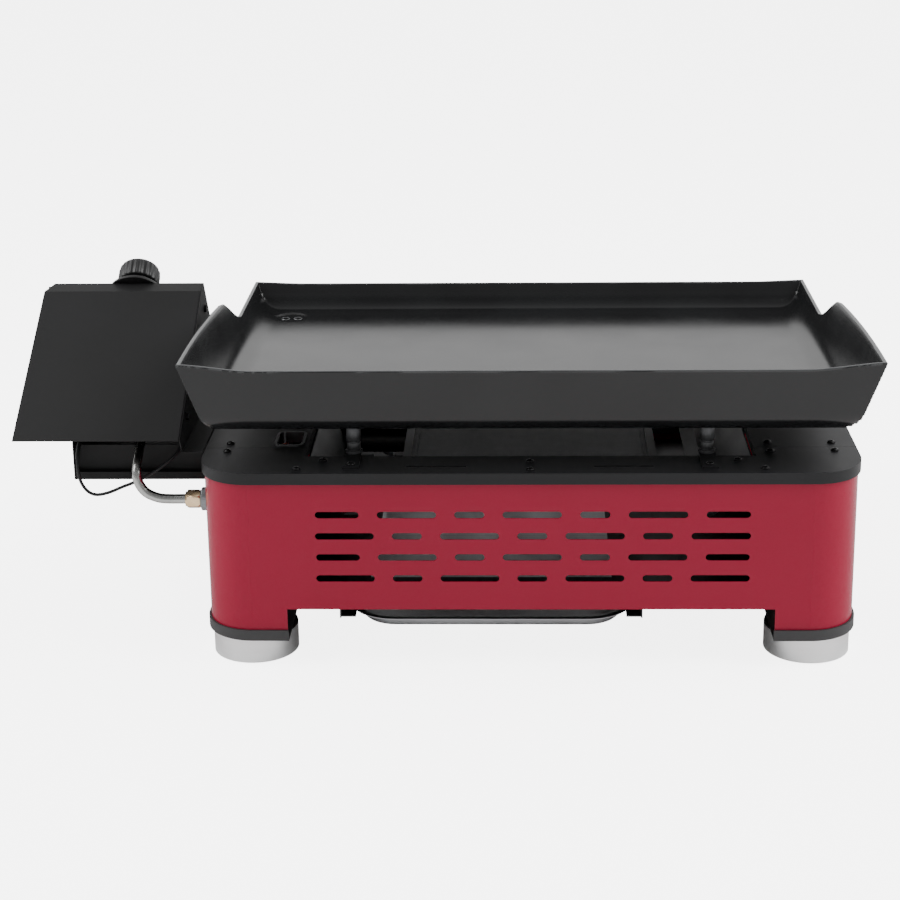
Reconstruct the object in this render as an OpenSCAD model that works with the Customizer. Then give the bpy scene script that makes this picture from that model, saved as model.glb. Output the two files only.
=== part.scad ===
// Table-top gas griddle: a painted sheet-metal cabinet on four round feet, a screened burner under a
// flared griddle plate, and a control housing hung on the left side. Millimetres, +Z up.
// Cabinet coordinates: x = 0 is the cabinet's middle, y = 0 its splash-wall side, z = 0 the table.

/* [Cabinet] */
// Width of the painted cabinet
body_w = 650; // [620:1:680]
// Depth of the painted cabinet
body_d = 490; // [486:1:500]
// Outer radius of the cabinet's corners
corner_r = 48; // [40:1:56]
// Height of the panels' lower edge between the legs
panel_low_z = 61; // [58:1:64]
// Height where the panels meet the underside of the top frame
panel_top_z = 202.8; // [202:0.2:203]
// Width of each corner leg
leg_w = 83; // [78:1:88]
// Thickness of the painted sheet
sheet_t = 1.2; // [1:0.1:1.5]

/* [Vents] */
// Length of a long vent slot
slot_long = 58; // [50:1:60]
// Length of a short vent slot
slot_short = 29.4; // [24:0.2:32]
// Length of the first and last slot of the odd rows
slot_end = 43.1; // [40:0.1:44]
// Gap between two slots
slot_gap = 17.9; // [14:0.1:20]
// Height of a slot
slot_h = 7; // [5:0.5:9]
// Distance between slot rows
slot_pitch = 22.3; // [20:0.1:24]
// Height of the top row
slot_top_z = 161; // [158:1:164]

/* [Feet] */
// Diameter of each round foot
foot_d = 86; // [80:1:90]
// Height of the feet under the corner caps
foot_h = 28; // [26:1:30]
// Height of the corner caps' band
cap_h = 11; // [10:0.5:12]

/* [Top frame] */
// Height of the top frame's upper face
frame_z = 205; // [204.8:0.2:205.2]
// Height of the frame's skirt
skirt_h = 11.6; // [11:0.2:12]
// Width of the opening over the burner
opening_w = 448; // [440:1:456]
// Depth of the opening over the burner
opening_d = 392; // [388:1:396]

/* [Griddle] */
// Width of the griddle's base
griddle_w = 632; // [624:1:640]
// Depth of the griddle's base
griddle_d = 456; // [450:1:460]
// Height of the griddle's underside
griddle_z = 240; // [239:1:242]
// Height of the splash walls over the underside
wall_high = 78; // [70:1:82]
// Height of the low walls over the underside
wall_low = 34; // [30:1:38]
// Wall thickness
wall_t = 4; // [3.5:0.5:5]
// Floor thickness
floor_t = 5; // [5:0.5:6]
// How far the walls lean out for each millimetre of height
flare = 0.3; // [0.2:0.01:0.34]
// How far the griddle lifts off
lift_travel = 160; // [150:5:200]

/* [Controls] */
// Angle of the control panel from the horizontal
panel_angle = 55; // [50:1:60]
// Diameter of the control knob
knob_d = 45; // [38:1:48]
// Height of the knob's body
knob_h = 26; // [22:1:28]
// Diameter of the bezel around the knob
bezel_d = 60; // [56:1:62]
// Travel of the knob when pushed
push_travel = 4; // [3:0.5:5]
// Outer diameter of the gas pipe
pipe_d = 10; // [9.5:0.5:10]

/* [Hidden] */
$fn = 64;

body_mid_y = body_d / 2;
half_w = body_w / 2;
// The model's origin is the middle of its footprint box, so the cabinet is moved by these.
cover_left_x = -518;
cover_right_x = -351;
griddle_rim_x = griddle_w / 2 + flare * wall_high;
griddle_near_y = body_mid_y - 3 - griddle_d / 2;
griddle_far_y = griddle_near_y + griddle_d;
rim_near_y = griddle_near_y - flare * wall_high;
pull_far_y = body_d + 16;
shift_x = -(cover_left_x + griddle_rim_x) / 2;
shift_y = -(rim_near_y + pull_far_y) / 2;

slot_shift = 2;
cap_gap = 0.3;
cap_out = 2.5;
leg_low_z = foot_h + 1.8;
frame_t = 2;
frame_out = 2.5;
opening_near_y = (body_d - opening_d) / 2;
seam_y = 75;
foot_x = half_w - foot_d / 2 - 2;
foot_y = foot_d / 2 + 3.7;
post_x = 176;
post_y = opening_near_y + 8;
post_d = 15;
bracket_reach = 46;
bracket_screw = 38;
bracket_half = 8;
drain_x = -278;
drain_y = griddle_far_y - 42;
drain_holes_x = [-7.3, 7.3];
burner_w = 256;
burner_near_y = 75;
burner_d = body_d - 2 * burner_near_y;
burner_low_z = 138;
burner_top_z = 187;
gas_axis_z = 156;
gas_entry_y = 60;
tray_left_x = -182;
tray_right_x = 102.9;
tray_near_y = 8;
tray_rim_z = 46.2;
tray_low_z = 33.7;
tray_corner = 46;
tray_rim_w = 6.5;
tray_slope = 8;
rail_z = [43.4, 70];
rail_near_y = 19;
panel_ridge = [246, 333.5];
near_face = [[50, 221.5], [227, 329.5]];
base_z = 166;
base_near_y = 90;
base_left_x = -467;
knob_x = -425.2;
knob_down = 20;
base_wall_y = 97;
lead_hole = [112, 184];
electrode_y = 392;
cover_t = 1.2;
far_low_z = 216;

// Places a child in the row frame.
module cabinet() { translate([shift_x, shift_y, 0]) children(); }

// Mirrors a child about the cabinet's middle depth or width.
module both_ends() {
    children();
    translate([0, body_d, 0]) mirror([0, 1, 0]) children();
}
module both_sides() {
    children();
    mirror([1, 0, 0]) children();
}
module far_end() { translate([0, body_d, 0]) mirror([0, 1, 0]) children(); }

// Rounded rectangle from [x0, y0] to [x1, y1].
module rounded(x0, y0, x1, y1, r) {
    translate([x0 + r, y0]) square([x1 - x0 - 2 * r, y1 - y0]);
    translate([x0, y0 + r]) square([x1 - x0, y1 - y0 - 2 * r]);
    for (x = [x0 + r, x1 - r], y = [y0 + r, y1 - r]) translate([x, y]) circle(r);
}

// Plan of the cabinet, grown outwards by g.
module plan(g = 0) { rounded(-half_w - g, -g, half_w + g, body_d + g, corner_r + g); }

module slab(z0, z1) { translate([0, 0, z0]) linear_extrude(z1 - z0) children(); }
module block(a, b) { translate(a) cube([b[0] - a[0], b[1] - a[1], b[2] - a[2]]); }

// ---- swept tubes ----
function unit(v) = v / norm(v);
function tangent(p, i) =
    unit(i == 0 ? p[1] - p[0] : i == len(p) - 1 ? p[i] - p[i - 1] : unit(p[i + 1] - p[i]) + unit(p[i] - p[i - 1]));
function side_of(t, ref) = unit(cross(t, ref));
// Catmull-Rom point between p[i] and p[i + 1].
function spline_at(p, i, u) = let (a = p[max(i - 1, 0)], b = p[i], c = p[i + 1], d = p[min(i + 2, len(p) - 1)])
    0.5 * (2 * b + (c - a) * u + (2 * a - 5 * b + 4 * c - d) * u * u + (3 * b - a - 3 * c + d) * u * u * u);
function smooth_path(p, n) = [for (i = [0 : len(p) - 2], k = [0 : n - 1]) spline_at(p, i, k / n), p[len(p) - 1]];
module tube(path, r, sides, ref = [0.35, 0.9, 0.26]) {
    count = len(path);
    points = [for (i = [0 : count - 1]) let (t = tangent(path, i), u = side_of(t, ref), v = cross(t, u))
        for (k = [0 : sides - 1]) path[i] + (is_list(r) ? r[i] : r) * (cos(360 * k / sides) * u + sin(360 * k / sides) * v)];
    skin = [for (i = [0 : count - 2], k = [0 : sides - 1]) let (n = (k + 1) % sides)
        [i * sides + k, i * sides + n, (i + 1) * sides + n, (i + 1) * sides + k]];
    polyhedron(points, concat([[for (k = [sides - 1 : -1 : 0]) k]], skin,
        [[for (k = [0 : sides - 1]) (count - 1) * sides + k]]), convexity = 6);
}

// ---- cabinet ----
// One vent slot starting at x with length l, through the panel at y = 0.
module slot_cut(x, l, z) {
    block([x + slot_h / 2, -4, z - slot_h / 2], [x + l - slot_h / 2, 8, z + slot_h / 2]);
    for (e = [x + slot_h / 2, x + l - slot_h / 2]) translate([e, 8, z]) rotate([90, 0, 0]) cylinder(h = 12, d = slot_h);
}
even_row = [slot_long, slot_short, slot_long, slot_short, slot_long, slot_short, slot_long];
odd_row = [slot_end, slot_long, slot_short, slot_long, slot_short, slot_long, slot_end];
function run(row, i) = i == 0 ? 0 : run(row, i - 1) + row[i - 1] + slot_gap;
module vents() {
    for (r = [0 : 3]) {
        row = r % 2 == 0 ? odd_row : even_row;
        total = run(row, 6) + row[6];
        for (i = [0 : 6]) slot_cut(slot_shift - total / 2 + run(row, i), row[i], slot_top_z - r * slot_pitch);
    }
}
// Half of the cabinet wall: one long side with its two corners and half of each short side.
module half_panel() {
    difference() {
        slab(leg_low_z, panel_top_z) intersection() {
            difference() { plan(); plan(-sheet_t); }
            translate([-half_w - 5, -5]) square([body_w + 10, body_mid_y + 4.8]);
        }
        block([-half_w + leg_w, -10, 0], [half_w - leg_w, 20, panel_low_z]);
        block([-half_w - 10, leg_w, 0], [half_w + 10, body_d, panel_low_z]);
        vents();
    }
}
module rear_panel() {
    color("#a8203a") difference() {
        half_panel();
        translate([-half_w - 5, gas_entry_y, gas_axis_z]) rotate([0, 90, 0]) cylinder(h = 10, d = 14);
        translate([-half_w - 5, lead_hole[0], lead_hole[1]]) rotate([0, 90, 0]) cylinder(h = 10, d = 8);
        for (y = [140, 220]) translate([-half_w - 5, y, 180]) rotate([0, 90, 0]) cylinder(h = 10, d = 6.4);
    }
}
module front_panel() { color("#a8203a") far_end() half_panel(); }

// ---- corner caps and feet ----
module leg_cap() {
    color("#3c3f40") {
        slab(foot_h, foot_h + cap_h) intersection() {
            difference() { plan(cap_out); plan(cap_gap); }
            translate([-half_w - 5, -5]) square([leg_w + 6, leg_w + 6]);
        }
        difference() {
            slab(foot_h, foot_h + 1.5) intersection() {
                plan(cap_out - 0.2);
                translate([-half_w - 5, -5]) square([leg_w + 6, leg_w + 6]);
            }
            translate([-foot_x, foot_y, foot_h - 1]) cylinder(h = 4, d = 8.4);
        }
    }
}
module foot() {
    color("#dcdcdc") difference() {
        translate([-foot_x, foot_y, 1]) cylinder(h = foot_h - 2.2, d = foot_d, $fn = 96);
        translate([-foot_x, foot_y, 0]) cylinder(h = foot_h - 4, d = foot_d - 4, $fn = 96);
        translate([-foot_x, foot_y, 0]) cylinder(h = foot_h + 4, d = 8.4);
    }
}
module foot_covers() {
    color("#111111") both_sides() both_ends() difference() {
        translate([-foot_x, foot_y, foot_h - 1.2]) cylinder(h = 1.2, d = foot_d - 0.6, $fn = 96);
        translate([-foot_x, foot_y, foot_h - 4]) cylinder(h = 8, d = 8.4);
    }
}
module foot_pads() {
    color("#1c1c1c") both_sides() both_ends() difference() {
        translate([-foot_x, foot_y, 0]) cylinder(h = foot_h - 4, d = foot_d - 8);
        translate([-foot_x, foot_y, 8]) cylinder(h = foot_h, d = 18);
    }
}
module foot_bolts() {
    color("#8a8a8a") both_sides() both_ends() translate([-foot_x, foot_y, 0]) {
        translate([0, 0, foot_h - 10]) cylinder(h = 6, d = 13, $fn = 6);
        translate([0, 0, foot_h - 4.5]) cylinder(h = 14, d = 8);
        translate([0, 0, foot_h + 1.5]) cylinder(h = 6.5, d = 13, $fn = 6);
    }
}

// ---- top frame ----
module frame_region(y0, y1) {
    intersection() {
        plan(frame_out);
        translate([-half_w - 10, y0]) square([body_w + 20, y1 - y0]);
    }
}
module opening_2d(g = 0) {
    translate([-opening_w / 2 - g, opening_near_y - g]) square([opening_w + 2 * g, opening_d + 2 * g]);
}
// Part of the top frame between two depths: flat top, outer skirt and a lip round the opening.
module frame_part(y0, y1) {
    slab(frame_z - frame_t, frame_z) difference() { frame_region(y0, y1); opening_2d(); }
    slab(frame_z - skirt_h, frame_z - frame_t / 2) intersection() {
        difference() { plan(frame_out); plan(cap_gap); }
        translate([-half_w - 10, y0]) square([body_w + 20, y1 - y0]);
    }
    slab(frame_z - 9, frame_z - frame_t / 2) intersection() {
        difference() { opening_2d(1.2); opening_2d(); }
        translate([-half_w - 10, y0]) square([body_w + 20, y1 - y0]);
    }
}
screw_spots = [[-229, 11], [229, 11], [0, 8], [0, 32], [-205, 36], [205, 36], [240, 62], [-304, 64], [304, 64]];
left_spots = [[-304, 88]];
right_spots = [[240, 89], [304, 88]];
module screw_holes(spots) { for (p = spots) translate([p[0], p[1], frame_z - 8]) cylinder(h = 12, d = 4.4, $fn = 24); }
module rail() {
    color("#202020") difference() {
        frame_part(-frame_out - 1, seam_y - 0.2);
        screw_holes(screw_spots);
        for (x = [-post_x, post_x]) translate([x, post_y - bracket_screw, frame_z - 6]) cylinder(h = 12, d = 4.4, $fn = 24);
        for (s = [-1, 1]) slab(frame_z - 5, frame_z + 5) translate([s * 92, 18.5]) {
            square([56, 3], center = true);
            for (e = [-28, 28]) translate([e, 0]) circle(1.5, $fn = 24);
        }
    }
}
module top_rail_rear() { rail(); }
module top_rail_front() {
    color("#202020") difference() {
        far_end() rail();
        translate([drain_x, drain_y, frame_z - 6]) cylinder(h = 12, d = 46);
    }
}
module side_plate(x0, x1, spots) {
    color("#202020") difference() {
        intersection() {
            frame_part(seam_y + 0.2, body_d - seam_y - 0.2);
            block([x0, 0, 0], [x1, body_d, 300]);
        }
        both_ends() screw_holes(spots);
    }
}
port = [-258, 80, -230, 122];
module top_plate_left() {
    difference() {
        side_plate(-half_w - 10, 0, left_spots);
        slab(frame_z - 12, frame_z + 6) rounded(port[0], port[1], port[2], port[3], 7);
    }
}
module top_plate_right() { side_plate(0, half_w + 10, right_spots); }
module lighting_port_rim() {
    color("#8f9092") {
        slab(frame_z - 10, frame_z + 1.6) difference() {
            rounded(port[0] + 0.2, port[1] + 0.2, port[2] - 0.2, port[3] - 0.2, 6.8);
            rounded(port[0] + 1.6, port[1] + 1.6, port[2] - 1.6, port[3] - 1.6, 5.4);
        }
        slab(frame_z + 0.1, frame_z + 1.6) difference() {
            rounded(port[0] - 1.4, port[1] - 1.4, port[2] + 1.4, port[3] + 1.4, 8.4);
            rounded(port[0] + 0.8, port[1] + 0.8, port[2] - 0.8, port[3] - 0.8, 6.2);
        }
    }
}
module splice_plates() {
    color("#2a2a2a") for (side = [[-316, -264], [228, 316]]) both_ends() difference() {
        block([side[0], seam_y - 20, frame_z - frame_t - 2.2], [side[1], seam_y + 20, frame_z - frame_t]);
        screw_holes(concat(screw_spots, left_spots, right_spots));
    }
}
module screw(p) {
    translate([p[0], p[1], frame_z]) cylinder(h = 2.4, d = 8, $fn = 24);
    translate([p[0], p[1], frame_z - 7]) cylinder(h = 7.2, d = 4, $fn = 24);
}
module frame_screws() {
    color("#2e2e30") {
        both_ends() for (p = screw_spots) screw(p);
        both_ends() for (p = concat(left_spots, right_spots)) screw(p);
        both_ends() for (x = [-post_x, post_x]) translate([0, 0, 2]) screw([x, post_y - bracket_screw]);
    }
}

// ---- griddle ----
function ramp(x, a, b) = let (u = min(max((x - a) / (b - a), 0), 1)) u * u * (3 - 2 * u);
griddle_mid_y = (griddle_near_y + griddle_far_y) / 2;
rim_reach = flare * wall_high;
rim_drop = 7.5;
// Height of the side walls' rim over the underside, v behind the splash wall's foot.
function side_rim(v) = let (high = wall_high - 12 * pow(max(v, 0) / 252, 2))
    high + (wall_low + 1 - high) * ramp(v, 242, 312);
// Section of the pan for a foot half as wide as half: floor at z0, walls leaning out, feet of radius r.
module pan_section(half, z0, r) {
    s = sqrt(1 + flare * flare);
    cx = half + flare * (z0 + r) - r * s;
    foot = [cx + r / s, z0 + r - flare * r / s];
    top = [half + flare * 100, 100];
    polygon([[-cx, z0], [cx, z0], foot, top, [-top[0], top[1]], [-foot[0], foot[1]]]);
    for (e = [-cx, cx]) translate([e, z0 + r]) circle(r);
}
module pan_block(inset, z0, r) {
    intersection() {
        translate([0, griddle_far_y + 60, griddle_z]) rotate([90, 0, 0]) linear_extrude(griddle_d + 120)
            pan_section(griddle_w / 2 - inset, z0, r);
        translate([-griddle_w / 2 - 60, griddle_mid_y, griddle_z]) rotate([90, 0, 90]) linear_extrude(griddle_w + 120)
            pan_section(griddle_d / 2 - inset, z0, r);
    }
}
// Everything under the side walls' rim line, which steps down halfway along.
module under_side_rim() {
    translate([-griddle_w, griddle_near_y, griddle_z]) rotate([90, 0, 90]) linear_extrude(2 * griddle_w)
        polygon(concat([[-rim_reach - 5, -5], [-rim_reach - 5, wall_high]],
            [for (v = [0 : 22 : 242]) [v, side_rim(v)]], [for (v = [249 : 7 : 312]) [v, side_rim(v)]],
            [[griddle_d + 60, wall_low + 1], [griddle_d + 60, -5]]));
}
// Shallow dip in the rim of the wall that spans y0 to y1, from height low between the corners.
module rim_dip(y0, y1, low, drop, reach) {
    half = griddle_w / 2 - reach;
    translate([0, y1, griddle_z]) rotate([90, 0, 0]) linear_extrude(y1 - y0)
        polygon(concat([for (u = [0 : 0.125 : 1]) [-half - 80 + 80 * u + 4, low + drop * (1 - ramp(u, 0, 1))]],
            [for (u = [0 : 0.125 : 1]) [half - 4 + 80 * u, low + drop * ramp(u, 0, 1)]],
            [[half + 76, low + drop + 9], [-half - 76, low + drop + 9]]));
}
module griddle_plate() {
    color("#2b2c2d") difference() {
        union() {
            difference() {
                intersection() { pan_block(0, 0, 28); under_side_rim(); }
                pan_block(wall_t, floor_t, 24);
                rim_dip(griddle_near_y - rim_reach - 2, griddle_near_y + 4, wall_high - rim_drop, rim_drop + 0.2, 48);
                rim_dip(griddle_far_y - 4, griddle_far_y + rim_reach, wall_low - 1, 2.2, 50);
            }
            both_sides() both_ends() translate([-post_x, post_y, griddle_z - 3]) cylinder(h = 6, d = 24);
        }
        both_sides() both_ends() translate([-post_x, post_y, griddle_z - 4]) cylinder(h = 6, d = 9);
        for (x = drain_holes_x) translate([drain_x + x, drain_y, griddle_z - 5]) cylinder(h = 20, d = 9);
        translate([drain_x, drain_y, griddle_z + floor_t - 1.8]) cylinder(h = 20, d = 38);
    }
}
module support_brackets() {
    color("#262626") both_sides() both_ends() difference() {
        block([-post_x - bracket_half, post_y - bracket_reach, frame_z], [-post_x + bracket_half, post_y + 9, frame_z + 2]);
        translate([-post_x, post_y - bracket_screw, frame_z - 1]) cylinder(h = 4, d = 4.4, $fn = 24);
        translate([-post_x, post_y, frame_z - 1]) cylinder(h = 4, d = 6.2);
    }
}
module support_posts() {
    color("#6c6d6e") both_sides() both_ends() translate([-post_x, post_y, 0]) {
        translate([0, 0, frame_z + 2]) cylinder(h = 3, d = post_d + 2);
        translate([0, 0, frame_z + 5]) cylinder(h = griddle_z - 6 - frame_z - 5, d = post_d);
        translate([0, 0, frame_z - 4]) cylinder(h = 6.5, d = 6);
        translate([0, 0, griddle_z - 6.5]) cylinder(h = 4.5, d = 6);
    }
}
// Heat-proof caps on the posts, which the griddle's bosses stand on.
module post_tips() {
    color("#3a3a3a") both_sides() both_ends() translate([-post_x, post_y, 0]) difference() {
        union() {
            translate([0, 0, griddle_z - 6]) cylinder(h = 2.9, d = post_d + 1);
            translate([0, 0, griddle_z - 3.2]) cylinder(h = 3.2, d = 8.4);
        }
        translate([0, 0, griddle_z - 7]) cylinder(h = 5, d = 6);
    }
}

// ---- burner ----
module burner_housing() {
    color("#3a3a3c") difference() {
        block([-burner_w / 2, burner_near_y, burner_low_z], [burner_w / 2, burner_near_y + burner_d, burner_top_z]);
        block([-burner_w / 2 + 1.5, burner_near_y + 1.5, burner_low_z + 1.5],
            [burner_w / 2 - 1.5, burner_near_y + burner_d - 1.5, burner_top_z + 5]);
        translate([-burner_w / 2 - 5, body_mid_y, gas_axis_z]) rotate([0, 90, 0]) cylinder(h = 10, d = 28.4);
    }
}
module burner_screen() {
    color("#454648") difference() {
        block([-burner_w / 2 + 1.6, burner_near_y + 1.6, burner_top_z - 3], [burner_w / 2 - 1.6, burner_near_y + burner_d - 1.6, burner_top_z]);
        for (s = [-1, 1], i = [0 : 40]) translate([s * 116, burner_near_y + 10 + i * 8, burner_top_z - 5]) cylinder(h = 8, d = 2.4, $fn = 16);
    }
}
module burner_frame() {
    color("#4c4d4f") for (s = [0, 1]) mirror([s, 0, 0]) {
        block([-burner_w / 2 - 1.7, burner_near_y, burner_top_z - 15], [-burner_w / 2 - 0.1, burner_near_y + burner_d, burner_top_z + 1.6]);
        block([-burner_w / 2 - 0.1, burner_near_y, burner_top_z], [-burner_w / 2 + 7, burner_near_y + burner_d, burner_top_z + 1.6]);
    }
}
module mixing_tube() {
    color("#9a9b9d") translate([0, body_mid_y, gas_axis_z]) rotate([0, 90, 0]) difference() {
        union() {
            translate([0, 0, -262]) cylinder(h = 26, d = 32);
            translate([0, 0, -240]) cylinder(h = 240 - burner_w / 2 + 12, d = 28);
        }
        translate([0, 0, -263]) cylinder(h = 200, d = 25);
        for (a = [0, 90]) rotate([0, 0, a + 45]) translate([-25, -5, -257]) cube([50, 10, 14]);
    }
}
module gas_jet() {
    color("#c9a14a") translate([0, body_mid_y, gas_axis_z]) rotate([0, 90, 0]) {
        translate([0, 0, -276]) cylinder(h = 10, d = 17, $fn = 6);
        translate([0, 0, -266]) cylinder(h = 12, d = 9);
    }
}
inner_pipe_path = [[-311, gas_entry_y, gas_axis_z], [-302, gas_entry_y, gas_axis_z], [-294, gas_entry_y + 3, gas_axis_z],
    [-290, gas_entry_y + 12, gas_axis_z], [-290, 120, gas_axis_z], [-290, 180, gas_axis_z], [-290, body_mid_y - 12, gas_axis_z],
    [-288, body_mid_y - 4, gas_axis_z], [-283, body_mid_y, gas_axis_z], [-276.3, body_mid_y, gas_axis_z]];
module inner_gas_pipe() { color("#b9bbbd") tube(smooth_path(inner_pipe_path, 4), 4, 16, [0, 0, 1]); }
module support_bar(y) {
    difference() {
        block([-half_w + sheet_t + 0.1, y, burner_low_z - 14], [half_w - sheet_t - 0.1, y + 24, burner_low_z - 0.1]);
        block([-half_w, y + 1.5, burner_low_z - 20], [half_w, y + 22.5, burner_low_z - 1.6]);
    }
}
module burner_support_rear() { color("#2c2c2e") support_bar(110); }
module burner_support_front() { color("#2c2c2e") support_bar(body_d - 134); }
// Sloping side wall of the fire space.
module deflector() {
    color("#4a4b4d") translate([0, body_d - 60, 0]) rotate([90, 0, 0]) linear_extrude(body_d - 120)
        polygon([[-223.5, 194], [-222.2, 194], [-186, 139.2], [-170, 139.2], [-170, 138], [-187, 138]]);
}
module deflector_left() {
    difference() {
        deflector();
        for (h = [[body_mid_y, gas_axis_z, 30], [electrode_y, 157, 9]])
            translate([-235, h[0], h[1]]) rotate([0, 90, 0]) cylinder(h = 60, d = h[2]);
    }
}
module deflector_right() { mirror([1, 0, 0]) deflector(); }
// Steel channel that leads grease from the drain to the tray.
module drain_chute() {
    color("#a9abad") translate([0, drain_y + 28, 0]) rotate([90, 0, 0]) difference() {
        linear_extrude(56) polygon([[-306, 197.6], [-306, 176], [-160, 78], [-160, 92], [-242, 150], [-250, 197.6]]);
        translate([0, 0, 1.5]) linear_extrude(53) polygon([[-304.5, 205], [-304.5, 177], [-150, 73], [-150, 82], [-243.5, 149.5], [-251.5, 205]]);
    }
}
module bottom_shield() {
    color("#3b3c3e") difference() {
        slab(panel_low_z + 9, panel_low_z + 10.2) difference() {
            plan(-sheet_t - 0.4);
            translate([tray_left_x + 20, rail_near_y + 39]) square([tray_right_x - tray_left_x - 40, body_d - 2 * rail_near_y - 78]);
            for (x = [-1, 1], y = [0, 1]) translate([x * foot_x - 45, y * (body_d - 90)]) square([90, 90]);
        }
    }
}

// ---- grease tray ----
module rail_profile(s) {
    length = body_d - 2 * rail_near_y;
    block([s > 0 ? 0 : -1.5, 0, rail_z[0]], [s > 0 ? 1.5 : 0, length, rail_z[1]]);
    for (f = [[tray_rim_z - 1.6, 16.2], [rail_z[1] - 1.5, 17.5]])
        block([s > 0 ? 0 : -f[1], 0, f[0]], [s > 0 ? f[1] : 0, length, f[0] + 1.5]);
}
module tray_rail_left() { color("#262628") translate([tray_left_x - 9.5, rail_near_y, 0]) rail_profile(1); }
module tray_rail_right() { color("#262628") translate([tray_right_x + 9.5, rail_near_y, 0]) rail_profile(-1); }
module tray_outline(inset) {
    rounded(tray_left_x + inset, tray_near_y + inset, tray_right_x - inset, body_d - tray_near_y - inset,
        tray_corner - inset, $fn = 48);
}
module tray_form(g, z0, z1) {
    hull() {
        slab(z1 - 0.2, z1) tray_outline(tray_rim_w + g);
        slab(z0 + 4, z0 + 4.2) tray_outline(tray_rim_w + tray_slope * 0.6 + g);
        slab(z0, z0 + 0.2) tray_outline(tray_rim_w + tray_slope + 3 + g);
    }
}
module grease_tray() {
    color("#b4b5b7") difference() {
        union() {
            tray_form(0, tray_low_z, tray_rim_z + 1.2);
            slab(tray_rim_z, tray_rim_z + 1.2) tray_outline(0);
        }
        tray_form(1, tray_low_z + 1, tray_rim_z + 3);
    }
}
// Folded pull on the cook's side of the tray.
module tray_pull() {
    color("#b4b5b7") {
        block([-100, body_d - tray_near_y - 6, tray_rim_z + 1.2], [20, pull_far_y - 1.2, tray_rim_z + 2.4]);
        block([-100, pull_far_y - 1.2, tray_rim_z - 14], [20, pull_far_y, tray_rim_z + 2.4]);
        block([-100, pull_far_y - 8, tray_rim_z - 14], [20, pull_far_y, tray_rim_z - 12.8]);
    }
}

// ---- ignition ----
module ignition_electrode() {
    color("#e8e4da") translate([-140, electrode_y, 0]) {
        translate([0, 0, 144]) cylinder(h = 34, d = 7);
        translate([0, 0, 156]) cylinder(h = 6, d = 10);
    }
    color("#8a8a8a") translate([-140, electrode_y, 177]) cylinder(h = 12, d = 2.2, $fn = 24);
}
module electrode_bracket() {
    color("#55565a") difference() {
        block([-152, electrode_y - 8, 154.4], [-burner_w / 2 - 1.8, electrode_y + 8, 155.9]);
        translate([-140, electrode_y, 150]) cylinder(h = 20, d = 7.2);
    }
    color("#55565a") block([-burner_w / 2 - 3.2, electrode_y - 8, 144], [-burner_w / 2 - 1.8, electrode_y + 8, 154.4]);
}
inner_lead_path = [[-321.2, 112, 184], [-313, 112, 184], [-305, 116, 183], [-303, 130, 182], [-303, 170, 181], [-303, 230, 180],
    [-303, 300, 179], [-298, 350, 174], [-280, 380, 167], [-250, 391, 160], [-220, 392, 157], [-199, 392, 157],
    [-180, 392, 153], [-160, 392, 142], [-148, 392, 137.5], [-141.5, 392, 138.5], [-140, 392, 143.9]];
module inner_lead() { color("#1a1a1a") tube(smooth_path(inner_lead_path, 3), 2, 8, [0.1, 0.1, 1]); }

// ---- control housing ----
far_dir = [cos(panel_angle), -sin(panel_angle)];
far_low = panel_ridge + far_dir * (panel_ridge[1] - far_low_z) / sin(panel_angle);
// Folded cover section in depth and height: sloping rear face, narrow ridge, control panel.
module cover_section() {
    near_dir = unit(near_face[1] - near_face[0]);
    inward = [near_dir[1], -near_dir[0]] * cover_t;
    far_in = [-sin(panel_angle), -cos(panel_angle)] * cover_t;
    polygon([near_face[0], near_face[1], panel_ridge, far_low, far_low + far_in,
        panel_ridge + [-0.9, -1.35], near_face[1] + [0.5, -1.45], near_face[0] + inward]);
}
module along_x(x0, x1) { translate([x0, 0, 0]) rotate([90, 0, 90]) linear_extrude(x1 - x0) children(); }
module on_panel(down = knob_down, x = knob_x) {
    translate([x, panel_ridge[0] + far_dir[0] * down, panel_ridge[1] + far_dir[1] * down]) rotate([-panel_angle, 0, 0]) children();
}
module control_cover() {
    color("#353637") difference() {
        along_x(cover_left_x, cover_right_x) cover_section();
        on_panel() translate([0, 0, -5]) cylinder(h = 10, d = 16);
        slab(329.4, 345) translate([cover_left_x, near_face[1][0]]) polygon([[-1, 0], [0, 0], [7.5, 19], [7.5, 30], [-1, 30]]);
    }
}
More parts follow.
